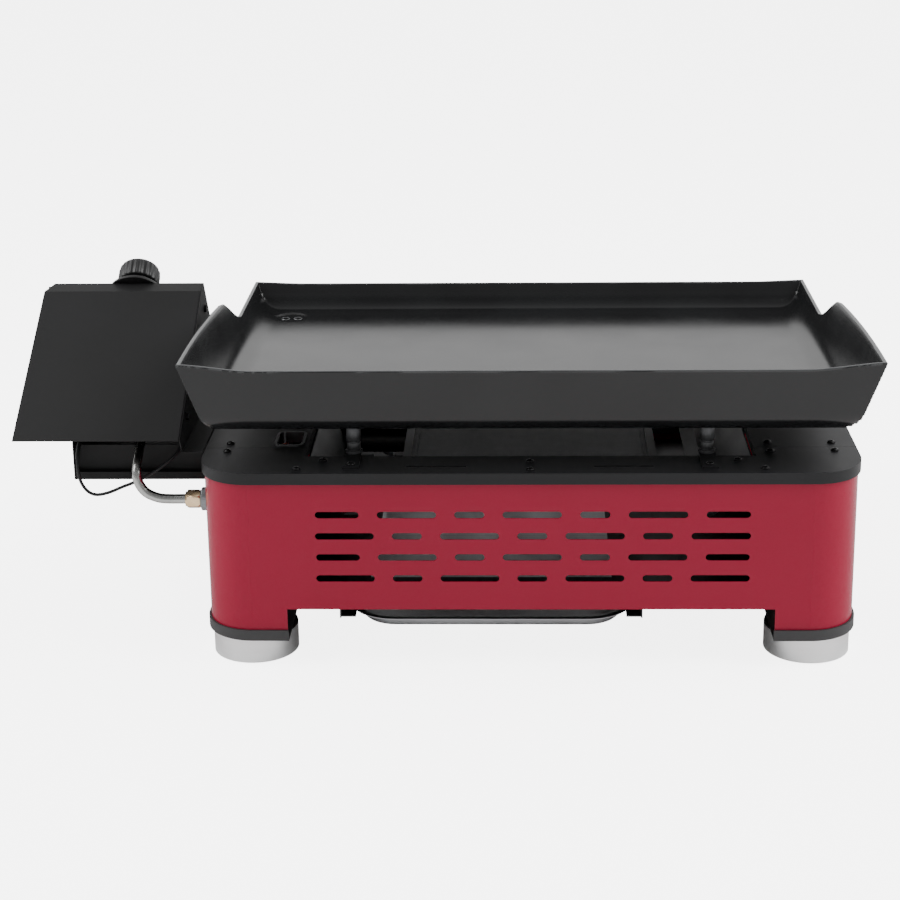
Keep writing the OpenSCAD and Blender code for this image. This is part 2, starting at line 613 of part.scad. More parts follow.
// End plate of the housing on the cabinet side, with a shelf flange towards the cabinet.
module control_side_plate() {
    color("#303132") {
        along_x(cover_right_x + 0.2, cover_right_x + 1.4)
            polygon([[65, 203.8], near_face[0] + [2, 0], near_face[1] + [1, 0], panel_ridge + [0, 0], far_low + [0, 0], [far_low[0], 203.8]]);
        block([cover_right_x + 0.2, 62, 203.8], [-half_w - frame_out - 1.5, far_low[0], frame_z]);
    }
}
module control_base() {
    color("#2f3031") difference() {
        union() {
            block([base_left_x, base_near_y, base_z], [-half_w - 3.6, far_low[0], base_z + 1.2]);
            block([base_left_x, base_near_y, base_z], [-half_w - 3.6, base_near_y + 1.2, base_z + 8]);
            block([base_left_x, base_wall_y, base_z], [-half_w - 3.6, base_wall_y + 1.2, 201]);
            block([base_left_x, far_low[0] - 1.2, base_z], [-half_w - 3.6, far_low[0], 203.6]);
            along_x(base_left_x, base_left_x + 1.2) polygon([[base_near_y, base_z], [base_near_y, 205], [120, 256],
                near_face[1] + [1, -8], panel_ridge + [-1, -6], far_low + [-4, 0], [far_low[0], base_z]]);
            block([-half_w - 4.8, base_near_y, base_z], [-half_w - 3.6, far_low[0], 203.6]);
        }
        for (y = [140, 220]) translate([-half_w - 8, y, 180]) rotate([0, 90, 0]) cylinder(h = 8, d = 6.4);
        translate([-half_w - 8, lead_hole[0], lead_hole[1]]) rotate([0, 90, 0]) cylinder(h = 8, d = 12);
        translate([base_left_x - 3, inlet_y, inlet_z]) rotate([0, 90, 0]) cylinder(h = 8, d = 13);
    }
}
module control_spacers() {
    color("#8c8d8f") for (y = [140, 220]) translate([-half_w - 3.6, y, 180]) rotate([0, 90, 0]) difference() {
        cylinder(h = 3.6, d = 14);
        translate([0, 0, -1]) cylinder(h = 8, d = 6.4);
    }
}
module control_screws() {
    color("#1d1d1f") {
        for (y = [140, 220]) translate([-half_w, y, 180]) rotate([0, 90, 0]) {
            translate([0, 0, -9.8]) cylinder(h = 5, d = 10, $fn = 6);
            translate([0, 0, -5]) cylinder(h = 13, d = 6);
            translate([0, 0, sheet_t]) cylinder(h = 5, d = 10, $fn = 6);
        }
        for (p = [[242, 306], [96, 232]]) translate([cover_right_x + 1.4, p[0], p[1]]) rotate([0, 90, 0]) cylinder(h = 3, d = 8, $fn = 24);
    }
}
valve_depth = 29;
inlet_y = panel_ridge[0] + far_dir[0] * knob_down - valve_depth * sin(panel_angle);
inlet_z = panel_ridge[1] + far_dir[1] * knob_down - valve_depth * cos(panel_angle);
module gas_valve() {
    color("#b9bbbd") on_panel() difference() {
        union() {
            translate([0, 0, -46]) cylinder(h = 44, d = 26);
            translate([-15, -15, -40]) cube([30, 30, 22]);
            translate([0, 0, -valve_depth]) rotate([0, -90, 0]) cylinder(h = knob_x - base_left_x - 7.4, d = 12);
        }
        translate([0, 0, -12]) cylinder(h = 12, d = 14);
    }
}
module igniter_unit() {
    color("#1b1b1d") {
        block([-464, 176, 226], [-444, 202, 262]);
        translate([-454, 170, 244]) rotate([-90, 0, 0]) cylinder(h = 6, d = 9);
    }
}
// Male flare thread that the supply hose screws onto.
inlet_r = 7.9;
module inlet_fitting() {
    color("#c9a14a") translate([0, inlet_y, inlet_z]) rotate([0, -90, 0]) {
        translate([0, 0, -base_left_x + 0.1]) cylinder(h = 5, d = 22, $fn = 6);
        translate([0, 0, -base_left_x + 4]) cylinder(h = 18, r = inlet_r);
        translate([0, 0, -base_left_x - 7.2]) cylinder(h = 8, d = 12.8);
        translate([0, 0, -base_left_x - 7.2]) cylinder(h = 5.9, d = 19, $fn = 6);
    }
}
stem_gap = 9;
module knob_bezel() {
    color("#1b1c1d") on_panel() difference() {
        union() {
            cylinder(h = 3, d = bezel_d);
            translate([0, 0, 3]) cylinder(h = 3, d1 = bezel_d - 1, d2 = bezel_d - 14);
        }
        translate([0, 0, -1]) cylinder(h = 10, d = 39.4);
    }
}
module spring_cap() {
    color("#8d8f92") on_panel() translate([0, 0, -1.5]) difference() {
        cylinder(h = 5, d = 13.4);
        translate([0, 0, -1]) cylinder(h = 8, d = 6.12);
    }
}
module valve_stem() {
    color("#b0b2b4") on_panel() {
        translate([0, 0, -7.5]) cylinder(h = 22, d = 6);
        translate([0, 0, 3.6]) cylinder(h = 1.6, d = 9);
    }
}
// Outline of the ribbed grip.
module grip_outline() {
    circle(d = knob_d - 1.8);
    for (i = [0 : 23]) rotate(7.5 + 15 * i) translate([knob_d / 2 - 1.3, 0]) circle(1.3, $fn = 24);
}
module control_knob() {
    color("#202122") on_panel() difference() {
        union() {
            translate([0, 0, stem_gap]) cylinder(h = 5, d = knob_d - 8);
            translate([0, 0, stem_gap + 4.5]) linear_extrude(knob_h - 5.5) grip_outline();
            translate([0, 0, stem_gap + knob_h - 1.2]) cylinder(h = 3.4, d1 = knob_d - 3.2, d2 = knob_d - 9);
        }
        translate([0, 0, stem_gap - 1]) cylinder(h = 8, d = 6.1);
        translate([0, 0, stem_gap - 1]) cylinder(h = 4, d = 30);
    }
}

// ---- gas pipe and ignition lead ----
pipe_path = [[-425.2, 219.3, 290.3], [-424.5, 207.5, 281.6], [-420, 189, 264], [-411, 163, 242], [-400.5, 130, 222],
    [-397, 98, 209], [-397, 76, 197], [-397, 63, 184], [-395, gas_entry_y + 0.5, 173], [-388, gas_entry_y, 163],
    [-377, gas_entry_y, 157.5], [-366, gas_entry_y, gas_axis_z], [-344, gas_entry_y, gas_axis_z]];
module gas_pipe() { color("#c2c4c6") tube(smooth_path(pipe_path, 5), pipe_d / 2, 24, [0.9, 0.1, -0.2]); }
module pipe_nut() {
    color("#c89f5c") translate([0, gas_entry_y, gas_axis_z]) rotate([0, 90, 0]) difference() {
        union() {
            translate([0, 0, -346]) cylinder(h = 13.4, d = 20, $fn = 6);
            translate([0, 0, -347.6]) cylinder(h = 2.5, d = 15);
        }
        translate([0, 0, -349]) cylinder(h = 20, d = pipe_d + 0.2);
    }
}
module bulkhead_fitting() {
    color("#b5b7ba") translate([0, gas_entry_y, gas_axis_z]) rotate([0, 90, 0]) {
        translate([0, 0, -332.5]) cylinder(h = 7, d = 16);
        translate([0, 0, -331.6]) cylinder(h = 6.5, d = 24, $fn = 48);
        translate([0, 0, -326]) cylinder(h = 15, d = 13.8);
        translate([0, 0, -half_w + sheet_t + 0.1]) cylinder(h = 7, d = 22, $fn = 6);
    }
}
lead_path = [[-454, 169.8, 244], [-454, 160, 243.4], [-455, 142, 235], [-457, 120, 222.5], [-459, 101, 211], [-460, 87, 202],
    [-460, 78, 188], [-458, 75, 172], [-452, 75, 160], [-443, 75, 155], [-430, 75, 157], [-415, 76, 163], [-402, 77, 168],
    [-386, 79, 176], [-370, 82, 186.5], [-359, 88, 196], [-354.5, 97, 203.4], [-350, 106, 198], [-342, 111, 189],
    [-335, 112, 184.5], [-328.4, 112, 184]];
// The lead's stiff sleeve over its first length, then the bare lead.
sleeve_d = 4.4;
lead_d = 3.4;
sleeve_rings = 32;
module ignition_lead() {
    path = smooth_path(lead_path, 4);
    color("#262728") tube(path, [for (i = [0 : len(path) - 1]) (i < sleeve_rings ? sleeve_d : lead_d) / 2], 8, [0.1, 0.95, 0.3]);
}
module lead_grommets() {
    color("#141414") translate([0, lead_hole[0], lead_hole[1]]) rotate([0, 90, 0]) {
        translate([0, 0, -328.2]) cylinder(h = 3.1, d = 12);
        translate([0, 0, -326]) cylinder(h = 4.7, d = 7.8);
    }
}

cabinet() rear_panel();
cabinet() front_panel();
cabinet() top_rail_rear();
cabinet() top_rail_front();
cabinet() top_plate_left();
cabinet() top_plate_right();
cabinet() splice_plates();
cabinet() frame_screws();
cabinet() lighting_port_rim();
cabinet() leg_cap();  // leg_cap_rear_left
cabinet() mirror([1, 0, 0]) leg_cap();  // leg_cap_rear_right
cabinet() far_end() leg_cap();  // leg_cap_front_left
cabinet() far_end() mirror([1, 0, 0]) leg_cap();  // leg_cap_front_right
cabinet() foot();  // foot_rear_left
cabinet() mirror([1, 0, 0]) foot();  // foot_rear_right
cabinet() far_end() foot();  // foot_front_left
cabinet() far_end() mirror([1, 0, 0]) foot();  // foot_front_right
cabinet() foot_covers();
cabinet() foot_pads();
cabinet() foot_bolts();
cabinet() griddle_plate();
cabinet() support_posts();
cabinet() support_brackets();
cabinet() post_tips();
cabinet() burner_housing();
cabinet() burner_screen();
cabinet() burner_frame();
cabinet() mixing_tube();
cabinet() gas_jet();
cabinet() inner_gas_pipe();
cabinet() burner_support_rear();
cabinet() burner_support_front();
cabinet() deflector_left();
cabinet() deflector_right();
cabinet() drain_chute();
cabinet() bottom_shield();
cabinet() tray_rail_left();
cabinet() tray_rail_right();
cabinet() grease_tray();
cabinet() tray_pull();
cabinet() ignition_electrode();
cabinet() electrode_bracket();
cabinet() inner_lead();
cabinet() control_cover();
cabinet() control_side_plate();
cabinet() control_base();
cabinet() control_spacers();
cabinet() control_screws();
cabinet() gas_valve();
cabinet() igniter_unit();
cabinet() inlet_fitting();
cabinet() knob_bezel();
cabinet() spring_cap();
cabinet() valve_stem();
cabinet() control_knob();
cabinet() gas_pipe();
cabinet() pipe_nut();
cabinet() bulkhead_fitting();
cabinet() lead_grommets();
cabinet() ignition_lead();
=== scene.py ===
import math

import bmesh
import bpy
import numpy as np
from mathutils import Matrix, Vector


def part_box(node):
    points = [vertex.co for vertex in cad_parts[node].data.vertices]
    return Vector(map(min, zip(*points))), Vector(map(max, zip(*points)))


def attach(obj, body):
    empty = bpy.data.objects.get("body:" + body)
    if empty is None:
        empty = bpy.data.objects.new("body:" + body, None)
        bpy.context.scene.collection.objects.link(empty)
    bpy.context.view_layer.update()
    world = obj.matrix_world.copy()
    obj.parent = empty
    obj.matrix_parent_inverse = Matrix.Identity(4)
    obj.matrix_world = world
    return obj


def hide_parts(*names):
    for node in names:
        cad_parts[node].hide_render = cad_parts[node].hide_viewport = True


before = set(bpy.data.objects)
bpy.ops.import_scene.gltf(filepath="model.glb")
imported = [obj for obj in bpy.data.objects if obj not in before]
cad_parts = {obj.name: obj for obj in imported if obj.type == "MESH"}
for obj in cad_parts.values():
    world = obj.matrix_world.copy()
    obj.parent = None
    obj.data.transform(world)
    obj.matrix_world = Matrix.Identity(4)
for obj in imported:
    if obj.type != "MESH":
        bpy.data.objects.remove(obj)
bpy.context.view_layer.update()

# ---- Camera ----
# A long lens a little above the griddle, turned and tilted slightly, as a catalogue picture is taken.
# Every place below is in millimetres on a drawing of the griddle, whose zero is where the middle of the
# cabinet's splash-wall side stands over the table.
MM = 0.001
panel_low, panel_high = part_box("rear_panel")
CABINET_X, CABINET_Y = (panel_low[0] + panel_high[0]) / 2, panel_low[1]


def at(x, y, z):
    """Row position in metres of a drawing point in millimetres; arrays work as well as numbers."""
    x, y, z = np.broadcast_arrays(np.asarray(x, float), np.asarray(y, float), np.asarray(z, float))
    return np.stack([CABINET_X + x * MM, CABINET_Y + y * MM, z * MM], axis=-1)


CAMERA_AT = (-5.7, -1830.9, 865.8)
PITCH, YAW, ROLL = (math.radians(a) for a in (16.61, -1.69, -0.67))
camera_data = bpy.data.cameras.new("camera")
camera_data.lens = 80
camera_data.sensor_width = 36
camera_data.shift_x = -0.0192
camera_data.shift_y = -0.10
camera_data.clip_end = 60
camera = bpy.data.objects.new("camera", camera_data)
bpy.context.scene.collection.objects.link(camera)
bpy.context.scene.camera = camera
forward = Vector((math.sin(YAW) * math.cos(PITCH), math.cos(YAW) * math.cos(PITCH), -math.sin(PITCH)))
level = Vector((math.cos(YAW), -math.sin(YAW), 0))
upright = level.cross(forward)
right = math.cos(ROLL) * level + math.sin(ROLL) * upright
upright = math.cos(ROLL) * upright - math.sin(ROLL) * level
turn = Matrix((right, upright, -forward)).transposed().to_4x4()
camera.matrix_world = Matrix.Translation(Vector(at(*CAMERA_AT))) @ turn


# ---- Ignition lead ----
# A silicone-covered spark lead with a thicker sleeve at the igniter's end. It leaves the control housing,
# hangs in one shallow loop past the gas pipe, and enters the cabinet through a rubber grommet.
def linear(hexcode):
    """Linear RGBA of an sRGB hex colour: the standard two-part curve, channel by channel."""
    c = np.array([int(hexcode[i:i + 2], 16) for i in (0, 2, 4)]) / 255
    return (*np.where(c <= 0.04045, c / 12.92, ((c + 0.055) / 1.055) ** 2.4), 1.0)


def add(tree, kind, settings=None, **inputs):
    """Adds a node with its settings. Each input is a value or another node's output socket, and is named
    for its socket, or i0, i1 and so on for a socket that is told only by its number."""
    node = tree.nodes.new("ShaderNode" + kind)
    for key, value in (settings or {}).items():
        setattr(node, key, value)
    for key, value in inputs.items():
        numbered = key[0] == "i" and key[1:].isdigit()
        socket = node.inputs[int(key[1:]) if numbered else key.replace("_", " ")]
        if isinstance(value, bpy.types.NodeSocket):
            tree.links.new(value, socket)
        else:
            socket.default_value = value
    return node


def new_material(name):
    """An empty material and its tree, with a Principled shader wired to the output."""
    made = bpy.data.materials.new(name)
    made.use_nodes = True
    tree = made.node_tree
    tree.nodes.clear()
    shader = add(tree, "BsdfPrincipled")
    output = add(tree, "OutputMaterial")
    tree.links.new(shader.outputs["BSDF"], output.inputs["Surface"])
    return made, tree, shader


def finish(name, dark, light, rough, metallic=0.0, patch_mm=60, grain_mm=1.0, bump_mm=0.0, gloss=0.5,
           edge=None, stretch=(1, 1, 1)):
    """A surface between two close colours: 0.55 of slow patches of patch_mm and 0.45 of a fine grain of
    grain_mm, which also set the roughness between rough's two ends. The grain alone gives a bump of
    bump_mm, and gloss is the specular level. Where the piece carries a "wear" attribute, the colour goes
    over to edge by its sixth power, which keeps the wear on the very edge."""
    made, tree, shader = new_material(name)
    place = add(tree, "TexCoord").outputs["Object"]
    place = add(tree, "Mapping", Vector=place, Scale=stretch).outputs["Vector"]
    patches = add(tree, "TexNoise", Vector=place, Scale=1 / (patch_mm * MM), Detail=3.0).outputs["Fac"]
    grain = add(tree, "TexNoise", Vector=place, Scale=1 / (grain_mm * MM), Detail=2.0).outputs["Fac"]
    slow = add(tree, "Math", {"operation": "MULTIPLY"}, i0=patches, i1=0.55).outputs[0]
    mixed = add(tree, "Math", {"operation": "MULTIPLY_ADD"}, i0=grain, i1=0.45, i2=slow).outputs[0]
    ramp = add(tree, "ValToRGB", i0=mixed)
    for stop, (position, shade) in zip(ramp.color_ramp.elements, ((0.36, dark), (0.64, light))):
        stop.position, stop.color = position, linear(shade)
    colour = ramp.outputs["Color"]
    if edge:
        worn = add(tree, "Attribute", {"attribute_name": "wear"}).outputs["Fac"]
        worn = add(tree, "Math", {"operation": "POWER"}, i0=worn, i1=6.0).outputs[0]
        rubbed = add(tree, "MapRange", i0=patches, i1=0.3, i2=0.6, i3=0.55, i4=1.0).outputs[0]
        worn = add(tree, "Math", {"operation": "MULTIPLY"}, i0=worn, i1=rubbed).outputs[0]
        colour = add(tree, "Mix", {"data_type": "RGBA"}, i0=worn, i6=colour, i7=linear(edge)).outputs[2]
    tree.links.new(colour, shader.inputs["Base Color"])
    roughness = add(tree, "MapRange", i0=mixed, i1=0.35, i2=0.65, i3=rough[0], i4=rough[1])
    tree.links.new(roughness.outputs[0], shader.inputs["Roughness"])
    shader.inputs["Metallic"].default_value = metallic
    shader.inputs["Specular IOR Level"].default_value = gloss
    if bump_mm:
        bump = add(tree, "Bump", Height=grain, Distance=bump_mm * MM, Strength=1.0)
        tree.links.new(bump.outputs["Normal"], shader.inputs["Normal"])
    return made


def sheet(points, close_u=False, close_v=False, caps=(False, False)):
    """Vertices and faces through points[u, v]: one quad between each four neighbours, and at either end of
    u a cap over that end's whole ring of v where caps asks for it."""
    nu, nv = points.shape[:2]
    u = np.arange(nu if close_u else nu - 1)
    v = np.arange(nv if close_v else nv - 1)
    a, b = np.meshgrid(u, v, indexing="ij")
    a2, b2 = (a + 1) % nu, (b + 1) % nv
    faces = np.stack([a * nv + b, a2 * nv + b, a2 * nv + b2, a * nv + b2], -1).reshape(-1, 4).tolist()
    if caps[0]:
        faces.append(list(range(nv)))
    if caps[1]:
        faces.append(list(range(nu * nv - 1, (nu - 1) * nv - 1, -1)))
    return points.reshape(-1, 3), faces


def weld(sheets, worn=()):
    """One closed mesh from sheets that meet edge to edge; the sheets numbered in worn carry "wear" 1."""
    mesh = bpy.data.meshes.new("welded")
    starts = np.cumsum([0] + [len(points) for points, each in sheets])
    faces = [[start + i for i in face] for start, (points, each) in zip(starts, sheets) for face in each]
    mesh.from_pydata(np.vstack([points for points, each in sheets]).tolist(), [], faces)
    wear = np.concatenate([np.full(len(points), float(i in worn)) for i, (points, each) in enumerate(sheets)])
    mesh.attributes.new("wear", "FLOAT", "POINT").data.foreach_set("value", wear)
    work = bmesh.new()
    work.from_mesh(mesh)
    bmesh.ops.remove_doubles(work, verts=work.verts, dist=1e-6)
    bmesh.ops.recalc_face_normals(work, faces=work.faces)
    work.to_mesh(mesh)
    work.free()
    return mesh


def piece(name, mesh, made, body, stands_for=()):
    """Puts a mesh into the scene as one piece: smooth but for folds past 40 degrees, with its finish, the
    body it rides on, and the CAD nodes it stands for."""
    mesh.name = name
    mesh.polygons.foreach_set("use_smooth", [True] * len(mesh.polygons))
    mesh.set_sharp_from_angle(angle=math.radians(40))
    mesh.materials.append(made)
    made_object = bpy.data.objects.new(name, mesh)
    bpy.context.scene.collection.objects.link(made_object)
    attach(made_object, body)
    if stands_for:
        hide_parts(*stands_for)
    return made_object


def smooth_line(points, spacing):
    """Points a spacing apart along the Catmull-Rom curve through the given ones."""
    p = np.asarray(points, float)
    p = np.vstack([2 * p[0] - p[1], p, 2 * p[-1] - p[-2]])
    t = np.linspace(0, 1, 24, endpoint=False)[:, None]
    runs = [0.5 * (2 * b + (c - a) * t + (2 * a - 5 * b + 4 * c - d) * t ** 2
                   + (3 * b - a - 3 * c + d) * t ** 3)
            for a, b, c, d in zip(p[:-3], p[1:-2], p[2:-1], p[3:])]
    line = np.vstack([*runs, p[-2]])
    far = np.concatenate([[0], np.cumsum(np.linalg.norm(np.diff(line, axis=0), axis=1))])
    places = np.linspace(0, far[-1], max(2, int(far[-1] / spacing) + 1))
    return np.stack([np.interp(places, far, line[:, i]) for i in range(3)], -1)


def tube(line, radius, sides):
    """A capped tube of rings round a line, each ring turned as little as possible from the last; radius
    is one for all, or each ring's own."""
    tangent = np.gradient(line, axis=0)
    tangent /= np.linalg.norm(tangent, axis=1)[:, None]
    side = np.cross(tangent[0], [0.3, 0.2, 0.93])
    angle = np.linspace(0, 2 * np.pi, sides, endpoint=False)[:, None]
    rings = []
    for place, along, r in zip(line, tangent, np.broadcast_to(radius, len(line))):
        side = side - along * (side @ along)
        side /= np.linalg.norm(side)
        rings.append(place + r * (np.cos(angle) * side + np.sin(angle) * np.cross(along, side)))
    return sheet(np.array(rings), close_v=True, caps=(True, True))


LEAD_ROUTE = [(-454, 169.8, 244), (-454, 160, 243.4), (-455, 142, 235), (-457, 120, 222.5),
              (-459, 101, 211), (-460, 87, 202), (-460, 78, 188), (-458, 75, 172), (-452, 75, 160),
              (-443, 75, 155), (-430, 75, 157), (-415, 76, 163), (-402, 77, 168), (-386, 79, 176),
              (-370, 82, 186.5), (-359, 88, 196), (-354.5, 97, 203.4), (-350, 106, 198),
              (-342, 111, 189), (-335, 112, 184.5), (-328.4, 112, 184)]
SLEEVE_D, SLEEVE_LENGTH = 4.4, 107
LEAD_D = 3.4
LEAD_STEP = 2
# Silicone is matt, a little grey, and picks up a soft sheen.
lead_sheath = finish("silicone_sleeve", "131415", "1b1c1e", (0.42, 0.55), patch_mm=12, grain_mm=0.6,
                     gloss=0.4)
lead_line = smooth_line(at(*np.transpose(LEAD_ROUTE)), LEAD_STEP * MM)
along_lead = np.arange(len(lead_line)) * LEAD_STEP
lead_radius = np.where(along_lead < SLEEVE_LENGTH, SLEEVE_D, LEAD_D) / 2 * MM
ignition_lead = piece("ignition_lead_sleeve", weld([tube(lead_line, lead_radius, 14)]), lead_sheath,
                      "cabinet", ["ignition_lead"])
tuple(at(*LEAD_ROUTE[0]))


# ---- Cabinet panels ----
# Two U-shaped wraps of mild steel, slotted in a press, folded, and stoved in gloss enamel. The coat is
# thick enough to level out, so it shows soft highlights with only a trace of orange peel.
def dress(made, *nodes):
    """Gives these CAD nodes a finish in place of their plain one."""
    for name in nodes:
        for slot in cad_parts[name].material_slots:
            slot.material = made


red_enamel = finish("gloss_red_stoving_enamel", "9a1433", "9f1737", (0.2, 0.27), patch_mm=160,
                    grain_mm=2.2, bump_mm=0.012, gloss=0.22)
dress(red_enamel, "rear_panel", "front_panel")

# ---- Top frame ----
# Four folded steel strips round the opening and their splice plates, with the brackets for the posts, in
# satin black powder coat: a very fine grain that blurs reflections without hiding the folds.
frame_powder = finish("satin_black_powder_coat", "19191a", "212123", (0.42, 0.52), patch_mm=90,
                      grain_mm=0.7, bump_mm=0.02, gloss=0.3)
dress(frame_powder, "top_rail_rear", "top_rail_front", "top_plate_left", "top_plate_right", "splice_plates",
      "support_brackets")

# ---- Lighting port ----
# A pressed rim of bare steel in the left plate, through which a match can reach the burner. Its mid grey
# catches the light round the dark hole.
port_steel = finish("pressed_steel_rim", "77787a", "8b8c8e", (0.3, 0.4), metallic=1.0, patch_mm=10,
                    grain_mm=0.6)
dress(port_steel, "lighting_port_rim")

# ---- Corner caps ----
# Glass-filled nylon shoes pushed over the panels' four legs. The mould's spark-eroded grain leaves them
# dull, and a shade lighter than the powder coat.
cap_nylon = finish("moulded_nylon", "2e2e2f", "363738", (0.45, 0.56), patch_mm=40, grain_mm=0.8,
                   bump_mm=0.03)
dress(cap_nylon, "leg_cap_rear_left", "leg_cap_rear_right", "leg_cap_front_left", "leg_cap_front_right")

# ---- Feet ----
# Drawn aluminium cups over rubber pads, each with a moulded washer on top and a zinc-plated bolt up into
# the corner cap. Satin anodising leaves the cups near white, with a fine grain drawn out round them.
foot_aluminium = finish("satin_anodised_aluminium", "f4f4f4", "fbfbfb", (0.34, 0.42), metallic=1.0,
                        patch_mm=30, grain_mm=0.5, stretch=(1, 1, 6))
dress(foot_aluminium, "foot_rear_left", "foot_rear_right", "foot_front_left", "foot_front_right")
# Moulded rubber is dead matt.
foot_rubber = finish("moulded_rubber", "141414", "1b1b1b", (0.7, 0.8), patch_mm=20, grain_mm=0.7,
                     bump_mm=0.03)
dress(foot_rubber, "foot_pads")
washer_plastic = finish("moulded_washer_plastic", "101011", "161617", (0.5, 0.6), patch_mm=20,
                        grain_mm=0.7, bump_mm=0.02)
dress(washer_plastic, "foot_covers")
# Zinc plating is a soft bright grey, cloudy rather than polished.
zinc = finish("zinc_plated_steel", "8e9092", "a3a5a8", (0.28, 0.4), metallic=1.0, patch_mm=14,
              grain_mm=0.7)
dress(zinc, "foot_bolts")

# ---- Griddle plate ----
# Four walls of 4 mm steel and a floor of 5 mm, brake-pressed, welded at the mitred corners and enamelled
# matt black inside and out. A dished drain with two holes sits in the far left corner.
GRIDDLE_W, GRIDDLE_D, GRIDDLE_Z, GRIDDLE_MID_Y = 632, 456, 240, 242
WALL_HIGH, WALL_T, FLOOR_T = 78, 4, 5
LOW_RIM = 35
FLARE = 0.3
OUTER_FILLET, INNER_FILLET = 28, 24
RIM_ROUND = 1.2
WALL_LEVELS, FILLET_LEVELS = 18, 6
DRAIN_AT, DRAIN_D, DRAIN_DEPTH = (-278, 428), 38, 1.8


def smooth_step(x, a, b):
    """0 up to a, 1 from b on, and 3u^2 - 2u^3 between."""
    u = np.clip((x - a) / (b - a), 0, 1)
    return u * u * (3 - 2 * u)


def side_rim(v):
    """Rim height of the side walls, v behind the splash wall's foot: 78 - 12 (v / 252)^2 as far as 242,
    then a smooth step down to the low wall's 35 at 312."""
    high = WALL_HIGH - 12 * (np.maximum(v, 0) / 252) ** 2
    return high + (LOW_RIM - high) * smooth_step(v, 242, 312)


def wall_profile(level, top, half, low, radius):
    """Distance from the middle and height at a level of the wall: FILLET_LEVELS steps of fillet, then a
    straight run that leans out by FLARE for each unit of height and ends at top."""
    slope = math.sqrt(1 + FLARE ** 2)
    centre = half + FLARE * (low + radius) - radius * slope
    angle = np.radians(-90 + np.minimum(level, FILLET_LEVELS) / FILLET_LEVELS
                       * (90 - math.degrees(math.atan(FLARE))))
    foot_z = low + radius - FLARE * radius / slope
    height = foot_z + np.maximum(level - FILLET_LEVELS, 0) / (WALL_LEVELS - FILLET_LEVELS) * (top - foot_z)
    return (np.where(level > FILLET_LEVELS, half + FLARE * height, centre + radius * np.cos(angle)),
            np.where(level > FILLET_LEVELS, height, low + radius + radius * np.sin(angle)))


def grid_line(floor_edge, drain):
    """One axis of a skin's grid: for each line its side, -1, 0 or 1, its level up the wall, and its place
    on the floor. The floor has 28 even lines, and lines 2 mm apart for 24 mm either way of the drain."""
    flat = np.concatenate([drain + np.linspace(-24, 24, 25), np.linspace(-floor_edge, floor_edge, 28)])
    flat = np.unique(np.clip(flat, -floor_edge, floor_edge).round(3))
    rise = np.arange(WALL_LEVELS, 0, -1)
    side = np.concatenate([-np.ones(WALL_LEVELS), np.zeros(len(flat)), np.ones(WALL_LEVELS)])
    level = np.concatenate([rise, np.zeros(len(flat)), rise[::-1]])
    place = np.concatenate([np.full(WALL_LEVELS, -floor_edge), flat, np.full(WALL_LEVELS, floor_edge)])
    return side[:, None], level[:, None], place[:, None]


def pan_skin(inset, low, radius):
    """One face of the pan, outer or inner, as a grid over its width and depth. A grid point stands on the
    floor, on one wall, or in a mitred corner, where the higher of two walls decides. The rims of the two
    long walls lift over their last 75 mm or so to meet the side walls' corners."""
    half_x, half_y = GRIDDLE_W / 2 - inset, GRIDDLE_D / 2 - inset
    floor_x = round(half_x + FLARE * (low + radius) - radius * math.sqrt(1 + FLARE ** 2), 3)
    floor_y = floor_x + half_y - half_x
    side_x, level_x, x0 = grid_line(floor_x, DRAIN_AT[0])
    side_y, level_y, y0 = (line.T for line in grid_line(floor_y, DRAIN_AT[1] - GRIDDLE_MID_Y))
    near_x, far_x = (np.where(level_x > 0, wall_profile(level_x, high, half_x, low, radius)[0], np.abs(x0))
                     for high in (WALL_HIGH, LOW_RIM))
    near_top = np.minimum(WALL_HIGH, WALL_HIGH - 7.5 + 7.7 * smooth_step(near_x, 264, 344))
    far_top = np.minimum(LOW_RIM, LOW_RIM - 2 + 2.2 * smooth_step(far_x, 262, 342))
    end_top = np.where(side_y < 0, near_top, far_top)
    side_top = np.where(level_y > 0, np.where(side_y < 0, WALL_HIGH, LOW_RIM), side_rim(y0 + GRIDDLE_D / 2))
    top = np.where(level_x > level_y, side_top, end_top) - RIM_ROUND
    out_x, z_x = wall_profile(level_x + 0 * level_y, top, half_x, low, radius)
    out_y, z_y = wall_profile(level_y + 0 * level_x, top, half_y, low, radius)
    x = np.where(level_x > 0, side_x * out_x, x0)
    y = np.where(level_y > 0, side_y * out_y, y0) + GRIDDLE_MID_Y
    z = np.maximum(z_x, z_y)
    if inset:
        from_drain = np.hypot(x - DRAIN_AT[0], y - DRAIN_AT[1])
        z = z - DRAIN_DEPTH * smooth_step(-from_drain, -DRAIN_D / 2 - 0.6, -DRAIN_D / 2 + 1.6)
    return at(x, y, GRIDDLE_Z + z)


def border(points):
    """The outermost loop of a grid."""
    return np.concatenate([points[:-1, 0], points[-1, :-1], points[:0:-1, -1], points[0, :0:-1]])


# The enamel is near black, but smooth enough to mirror a bright backdrop at low angles. The rim has rubbed
# to a paler grey.
griddle_enamel = finish("matt_black_griddle_enamel", "131314", "1a1b1c", (0.17, 0.24), patch_mm=80,
                        grain_mm=1.6, bump_mm=0.003, gloss=0.42, edge="4a4b4c")
outer_skin = pan_skin(0, 0, OUTER_FILLET)
inner_skin = pan_skin(WALL_T, FLOOR_T, INNER_FILLET)
outer_edge, inner_edge = border(outer_skin), border(inner_skin)
round_over = np.linspace(0, np.pi, 7)[:, None, None]
rim = (outer_edge + inner_edge) / 2 + (outer_edge - inner_edge) / 2 * np.cos(round_over)
rim[..., 2] += RIM_ROUND * MM * np.sin(round_over[..., 0])
piece("griddle_pan", weld([sheet(outer_skin), sheet(inner_skin), sheet(rim, close_v=True)], worn=(2,)),
      griddle_enamel, "griddle", ["griddle_plate"])


